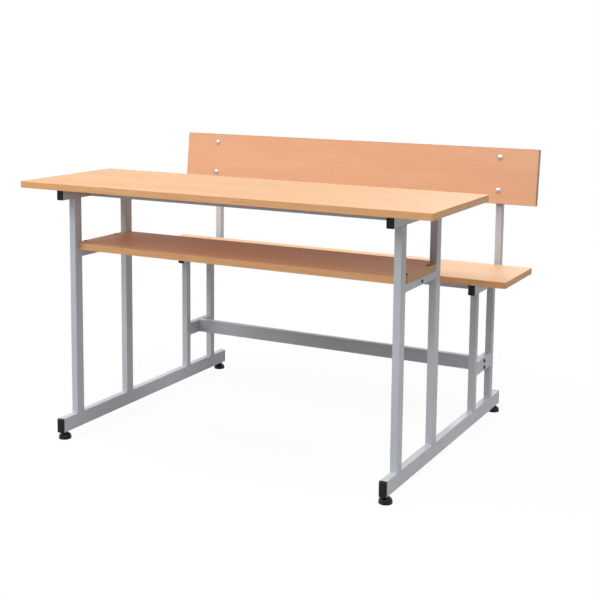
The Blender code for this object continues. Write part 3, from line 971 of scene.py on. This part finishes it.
class SCHOOLDESK_OT_welds(bpy.types.Operator):
    """The weld beads of both side frames"""

    bl_idname = "school_desk.welds"
    bl_label = "Weld beads"

    def execute(self, context):
        for side, _ in sides:
            mesh = bmesh.new()
            runner_top = Box(side + "_runner").high.z
            for name, rail_name in posts_on_runner.items():
                post, rail = Box(f"{side}_{name}"), Box(f"{side}_{rail_name}")
                for z, toward_z in ((runner_top, 1), (rail.low.z, -1)):
                    add_post_welds(mesh, post, z, toward_z, post.size.y)
                    add_corner_bead(mesh, post, post.high.y, z, 1, toward_z)
            for name, with_top in (("shelf_rail", False), ("cross_member", True)):
                rail = Box(f"{side}_{name}")
                add_rail_welds(mesh, rail, rail.low.y, 1, with_top)
                add_rail_welds(mesh, rail, rail.high.y, -1, with_top)
            post = Box(side + "_backrest_post")
            add_post_welds(mesh, post, Box(side + "_seat_rail").high.z, 1, post.size.x)
            piece(side + "_frame_welds", mesh, grey_coat())
        return {"FINISHED"}


# Caps

def cap_stops(width, height, nose, edge_round, plug_length, outward):
    """Sections of a cap about the middle of its tube's end."""
    chosen, tubes = settings("caps"), settings("tubes")
    side_gap = tubes.wall + chosen.fit
    plug_corner = tubes.corner - tubes.wall

    def section(inset, radius):
        """The tube's outline drawn in by the inset, with corners of that radius."""
        return rounded_outline(rectangle(width, height), radius + inset, tubes.arc_steps, inset)

    stops = [
        (section(side_gap + chosen.rail_round, plug_corner), -plug_length),
        (section(side_gap, plug_corner), 2 * chosen.rail_round - plug_length),
        (section(side_gap, plug_corner), chosen.fit),
        (section(hairline * 2, tubes.corner), chosen.fit),
    ]
    for inset, along in curved((0, nose - edge_round), (edge_round, nose), chosen.round_steps):
        stops.append((section(inset, tubes.corner + inset / 2), along))
    return [(outline, outward * along) for outline, along in stops]


def tube_cap(name, tube, outward, shape, replaced=(), cuts=()):
    """Cap on one end of a tube that runs along Y."""
    box = Box(tube)
    centre = (box.middle.x, box.corner(outward).y, box.middle.z)
    stops = cap_stops(box.size.x, box.size.z, *shape, outward)
    piece(name, lofted(stops, "Y", centre), black_plastic(), replaced, cuts=cuts)


class SCHOOLDESK_OT_caps(bpy.types.Operator):
    """Black end caps on the runners, the rails and the backrest posts"""

    bl_idname = "school_desk.caps"
    bl_label = "End caps"

    def execute(self, context):
        chosen = settings("caps")
        runner_shape = (chosen.runner_nose, chosen.runner_round, chosen.runner_plug)
        rail_shape = (chosen.rail_nose, chosen.rail_round, chosen.rail_plug)
        for side, _ in sides:
            for end, outward in zip(ends, (-1, 1)):
                name = f"{side}_runner_{end}_cap"
                tube_cap(name, side + "_runner", outward, runner_shape, [name], [stem_bore(side, end)])
            for rail in (side + "_desk_rail", side + "_seat_rail"):
                tube_cap(rail + "_cap", rail, -1, rail_shape, [rail + "_cap"])
                tube_cap(rail + "_rear_cap", rail, 1, rail_shape)
            post = side + "_backrest_post"
            stops, depth = leaning_path(side)
            y, z, lean = stops[-1]
            place = Matrix.Translation((Box(post).middle.x, y, z)) @ Matrix.Rotation(-lean, 4, "X")
            cap = lofted(cap_stops(depth, depth, *rail_shape, 1))
            piece(post + "_cap", cap, black_plastic(), place=place)
        return {"FINISHED"}


# Levelling feet

def pad_profile(radius, top, socket):
    """Radius and height pairs, from the sole round the dome to the bottom of the socket."""
    chosen = settings("feet")
    edge, rim, neck, chamfer = chosen.edge_round, chosen.rim_height, chosen.neck_radius, chosen.chamfer
    fillet, shoulder, steps = chosen.neck_fillet, chosen.shoulder, chosen.arc_steps
    return [
        *curved((radius - edge, 0), (radius, edge), steps, level_first=True),
        (radius, rim - chamfer), (radius - chamfer, rim),
        *curved((radius - chamfer, rim), (neck + fillet, shoulder), steps)[1:],
        *curved((neck + fillet, shoulder), (neck, shoulder + fillet), steps, level_first=True)[1:],
        (neck, top - chamfer), (neck - chamfer, top),
        (socket + chamfer, top), (socket, top - chamfer), (socket, chosen.socket_floor),
    ]


class SCHOOLDESK_OT_feet(bpy.types.Operator):
    """Swivelling pads on threaded stems"""

    bl_idname = "school_desk.feet"
    bl_label = "Levelling feet"

    def execute(self, context):
        chosen = settings("feet")
        for corner in corner_names:
            pad_name, stem_name = corner + "_foot_pad", corner + "_foot_stem"
            pad, stem = Box(pad_name), Box(stem_name)
            stem_radius = stem.size.x / 2
            place = Matrix.Translation((stem.middle.x, stem.middle.y, 0))
            profile = pad_profile(pad.size.x / 2, pad.high.z, stem_radius + chosen.fit)
            piece(pad_name, lathed(profile, chosen.round_steps), black_plastic(), [pad_name],
                  corner + "_pad", place)
            rod = threaded(stem_radius, chosen.thread_pitch, chosen.thread_depth,
                           stem.low.z, stem.high.z, chosen.thread_steps)
            piece(stem_name, rod, zinc(), [stem_name], corner + "_stem", place)
        return {"FINISHED"}


# Screws

def dome(radius, height, shank_radius, steps):
    """Radius and height pairs of a domed head, from its shank a hairline above the height zero."""
    rim = height / 6
    flat_radius = shank_radius / 8
    crown = curved((radius, hairline + rim), (flat_radius, hairline + height), steps)
    return [(shank_radius, hairline), (radius - rim / 2, hairline), (radius, hairline + rim / 2), *crown]


def screw_mesh(reach, head):
    """A screw from its point up: radius and height pairs of the head follow those of the shank."""
    chosen = settings("fasteners")
    point = [(chosen.screw_tip, -reach), (chosen.screw_shank, chosen.screw_point - reach)]
    return lathed(point + head, chosen.round_steps)


def cross_recess(scale=1.0, top_height=0.0):
    """Shape of the driver's cross recess, narrower at its bottom."""
    chosen = settings("fasteners")
    reach, width = chosen.recess_reach * scale, chosen.recess_width * scale
    top = cross_outline(reach, width)
    bottom = cross_outline(reach * chosen.recess_bottom, width * chosen.recess_bottom)
    return lofted([(bottom, top_height - chosen.recess_depth), (top, top_height),
                   (top, top_height + cut_overrun)])


class SCHOOLDESK_OT_screws(bpy.types.Operator):
    """Countersunk screws through the top and the seat, and pan-head screws through the shelf"""

    bl_idname = "school_desk.screws"
    bl_label = "Screws"

    def execute(self, context):
        chosen = settings("fasteners")
        for node in [f"{corner}_{screw}" for corner in corner_names for screw in ("top_screw", "seat_screw")]:
            box = Box(node)
            radius, edge = box.size.x / 2, chosen.head_edge
            head = [(chosen.screw_shank, -chosen.screw_head), (radius, -edge), (radius - edge, 0)]
            place = Matrix.Translation((box.middle.x, box.middle.y, box.high.z))
            piece(node, screw_mesh(box.size.z, head), yellow_zinc(), [node], place=place,
                  cuts=[cross_recess()])

        shelf = level_board("book_shelf")
        height = chosen.shelf_screw_height
        reach = shelf.thickness + chosen.shelf_screw_bite
        head = dome(chosen.shelf_screw_head, height, chosen.screw_shank, chosen.small_dome_steps)
        for index, (x, y) in enumerate(shelf_screw_places()):
            piece(f"shelf_screw_{index + 1}", screw_mesh(reach, head), dark_steel(),
                  place=shelf.place @ Matrix.Translation((x, y, 0)),
                  cuts=[cross_recess(chosen.shelf_recess, height)])
        return {"FINISHED"}


# Bolts

def nut_mesh(radius, height, bore):
    """Hexagon nut, chamfered on both faces."""
    chosen = settings("fasteners")
    flat = radius * math.cos(math.pi / 6)
    steps = chosen.chamfer_steps
    heights = [chosen.nut_chamfer * step / steps for step in range(steps + 1)]
    heights += [height - drop for drop in reversed(heights)]
    stops = [(circle(bore, chosen.nut_steps), 0)]
    for along in heights:
        limit = flat + min(along, height - along) * math.sqrt(3)

        def reach_at(angle):
            """Radius of the hexagon, held back by the chamfer."""
            past_middle = angle % (math.pi / 3) - math.pi / 6
            return min(flat / math.cos(past_middle), limit)

        stops.append((loop_round(reach_at, chosen.nut_steps), along))
    stops.append((circle(bore, chosen.nut_steps), height))
    return lofted(stops, closed=True)


def side_bolt(name, place, outward, head_radius, head_height, reach, replaced=()):
    """Button-headed bolt with a hex socket, on the outer face of a side frame."""
    chosen = settings("fasteners")
    profile = [(chosen.bolt_radius, -reach),
               *dome(head_radius, head_height, chosen.bolt_radius, chosen.small_dome_steps)]
    hexagon = circle(chosen.socket_radius, 6)
    socket = lofted([(hexagon, head_height - chosen.socket_depth), (hexagon, head_height + cut_overrun)])
    piece(name, lathed(profile, chosen.round_steps), dark_steel(), replaced, cuts=[socket],
          place=Matrix.Translation(place) @ Matrix.Rotation(outward * math.pi / 2, 4, "Y"))


def bolt_backrest():
    """Domed bolts through the board and the posts, with a nut behind each."""
    chosen = settings("fasteners")
    board = backrest()
    radius, steps = chosen.bolt_radius, chosen.round_steps
    nut_face = -(board.thickness + Box("left_backrest_post").size.x + 2 * chosen.sink)
    nut_back = nut_face - chosen.nut_height
    thread_start = nut_face + chosen.thread_before
    for name in backrest_bolts:
        place = board.place @ Matrix.Translation((*place_on(board, name), 0))
        head = dome(Box(name).size.x / 2, chosen.dome_height, radius, chosen.dome_steps)
        mesh = lathed([(radius, thread_start), (radius, 0), *head], steps)
        threaded(radius, chosen.bolt_pitch, chosen.bolt_thread_depth, nut_back - chosen.thread_past,
                 thread_start, steps, mesh)
        piece(name, mesh, zinc(), [name], place=place)
        nut = nut_mesh(chosen.nut_radius, chosen.nut_height, radius)
        piece(name.replace("bolt", "nut"), nut, zinc(), place=place @ Matrix.Translation((0, 0, nut_back)))


def bolt_brace():
    """Two bolts through each cross-member into the foot brace."""
    for side, sign in sides:
        face = Box(side + "_cross_member").corner(sign).x
        for level in levels:
            node = f"{side}_{level}_brace_bolt"
            bolt = Box(node)
            side_bolt(node, (face, bolt.middle.y, bolt.middle.z), sign, bolt.size.z / 2,
                      abs(bolt.corner(sign).x - face), abs(face - bolt.corner(-sign).x), [node])


def bolt_stretcher():
    """One bolt through each shelf rail into the shelf stretcher."""
    chosen = settings("fasteners")
    middle = Box("shelf_stretcher").middle
    for side, sign in sides:
        rail = Box(side + "_shelf_rail")
        side_bolt(side + "_shelf_stretcher_bolt", (rail.corner(sign).x, middle.y, middle.z), sign,
                  chosen.stretcher_head, chosen.stretcher_head_height, rail.size.x)


class SCHOOLDESK_OT_bolts(bpy.types.Operator):
    """Backrest bolts with their nuts, and the bolts of the foot brace and the shelf stretcher"""

    bl_idname = "school_desk.bolts"
    bl_label = "Bolts and nuts"

    def execute(self, context):
        bolt_backrest()
        bolt_brace()
        bolt_stretcher()
        return {"FINISHED"}


# Stage

def area_light(name, place, target, side, watts):
    """A soft square lamp that points at a target."""
    lamp = bpy.data.lights.new(name, "AREA")
    lamp.size = side
    lamp.energy = watts
    facing = (Vector(target) - Vector(place)).to_track_quat("-Z", "Y")
    linked(name, lamp, Matrix.Translation(place) @ facing.to_matrix().to_4x4())


def bare_nodes(owner):
    """The emptied node tree of a material or a world."""
    owner.use_nodes = True
    owner.node_tree.nodes.clear()
    return Nodes(owner.node_tree)


def white_world(ambient):
    """White to the camera and in reflections, and a plain soft light elsewhere."""
    world = bpy.data.worlds.new("white_surround")
    bpy.context.scene.world = world
    nodes = bare_nodes(world)
    soft = nodes.node("ShaderNodeBackground", {}, {"Color": white, "Strength": ambient})
    bright = nodes.node("ShaderNodeBackground", {}, {"Color": white, "Strength": 1.0})
    both = nodes.node("ShaderNodeMixShader", {}, {0: nodes.seen_directly(), 1: soft, 2: bright})
    nodes.node("ShaderNodeOutputWorld", {}, {"Surface": both})


def white_floor(chosen):
    """Plain floor that is white to the camera, but for a share that takes the object's shadow."""
    mesh = bmesh.new()
    corners = rectangle(chosen.floor_size, chosen.floor_size)
    mesh.faces.new([mesh.verts.new((*corner, 0)) for corner in corners])
    floor = new_object("floor", mesh, Matrix.Translation((0, 0, -hairline)))
    material = bpy.data.materials.new("white_floor")
    nodes = bare_nodes(material)
    seen = nodes.seen_directly()
    colour = nodes.mixed(tuple(chosen.floor_colour), white, seen)
    matt = nodes.node("ShaderNodeBsdfDiffuse", {}, {"Color": colour})
    glow = nodes.node("ShaderNodeEmission", {}, {"Color": white, "Strength": 1.0})
    from_middle = nodes.node("ShaderNodeVectorMath", {"operation": "LENGTH"},
                             {0: nodes.coordinates()}, "Value")
    fading = from_middle.above(chosen.fade_start, chosen.fade_end) * (1 - chosen.floor_white)
    factor = seen * (fading + chosen.floor_white)
    both = nodes.node("ShaderNodeMixShader", {}, {0: factor, 1: matt, 2: glow})
    nodes.node("ShaderNodeOutputMaterial", {}, {"Surface": both})
    floor.data.materials.append(material)


def photo_camera(chosen):
    """Camera at the photograph's angle, its lens axis a little above the picture's middle."""
    yaw, pitch, roll = chosen.yaw, chosen.pitch, chosen.roll
    ahead = Vector((-math.sin(yaw) * math.cos(pitch), math.cos(yaw) * math.cos(pitch), -math.sin(pitch)))
    level = Vector((math.cos(yaw), math.sin(yaw), 0))
    plumb = ahead.cross(level)
    right = level * math.cos(roll) + plumb * math.sin(roll)
    down = plumb * math.cos(roll) - level * math.sin(roll)
    data = bpy.data.cameras.new("photo_camera")
    data.sensor_width = chosen.sensor
    data.lens = chosen.focal_pixels / chosen.picture_pixels * chosen.sensor
    data.shift_y = (chosen.axis_pixels - chosen.picture_pixels / 2) / chosen.picture_pixels
    axes = Matrix((right, -down, -ahead)).transposed().to_4x4()
    bpy.context.scene.camera = linked("photo_camera", data, Matrix.Translation(chosen.camera_place) @ axes)


class SCHOOLDESK_OT_stage(bpy.types.Operator):
    """White floor and surround, soft lamps and the camera"""

    bl_idname = "school_desk.stage"
    bl_label = "Stage"

    def execute(self, context):
        chosen = settings("stage")
        white_floor(chosen)
        white_world(chosen.ambient)
        target = (cad_low + cad_high) / 2
        for lamp in ("left", "key", "front", "right", "rear"):
            place, watts = getattr(chosen, lamp + "_place"), getattr(chosen, lamp + "_power")
            area_light(lamp + "_lamp", place, target, chosen.lamp_side, watts)
        photo_camera(chosen)
        bpy.context.scene.view_settings.view_transform = "Standard"
        return {"FINISHED"}


# Panel and main

operators = (
    SCHOOLDESK_OT_boards,
    SCHOOLDESK_OT_tubes,
    SCHOOLDESK_OT_welds,
    SCHOOLDESK_OT_caps,
    SCHOOLDESK_OT_feet,
    SCHOOLDESK_OT_screws,
    SCHOOLDESK_OT_bolts,
    SCHOOLDESK_OT_stage,
)


class SCHOOLDESK_PT_sidebar(bpy.types.Panel):
    """The desk's settings and its pieces"""

    bl_idname = "SCHOOLDESK_PT_sidebar"
    bl_label = "School desk"
    bl_space_type = "VIEW_3D"
    bl_region_type = "UI"
    bl_category = "School desk"

    def draw(self, context):
        for group, group_class in setting_groups.items():
            box = self.layout.box()
            box.label(text=group.capitalize())
            for name in group_class.__annotations__:
                box.prop(settings(group), name)
        for operator in operators:
            self.layout.operator(operator.bl_idname)


classes = (*setting_groups.values(), *operators, SCHOOLDESK_PT_sidebar)


def register():
    """Register the classes and put the settings on the scene."""
    for each in classes:
        bpy.utils.register_class(each)
    for group, group_class in setting_groups.items():
        setattr(bpy.types.Scene, "school_desk_" + group, PointerProperty(type=group_class))


def unregister():
    """Take the settings and the classes away again."""
    for group in setting_groups:
        delattr(bpy.types.Scene, "school_desk_" + group)
    for each in reversed(classes):
        bpy.utils.unregister_class(each)


def main():
    """Make every piece."""
    register()
    for operator in operators:
        family, name = operator.bl_idname.split(".")
        getattr(getattr(bpy.ops, family), name)()


if __name__ == "__main__":
    main()
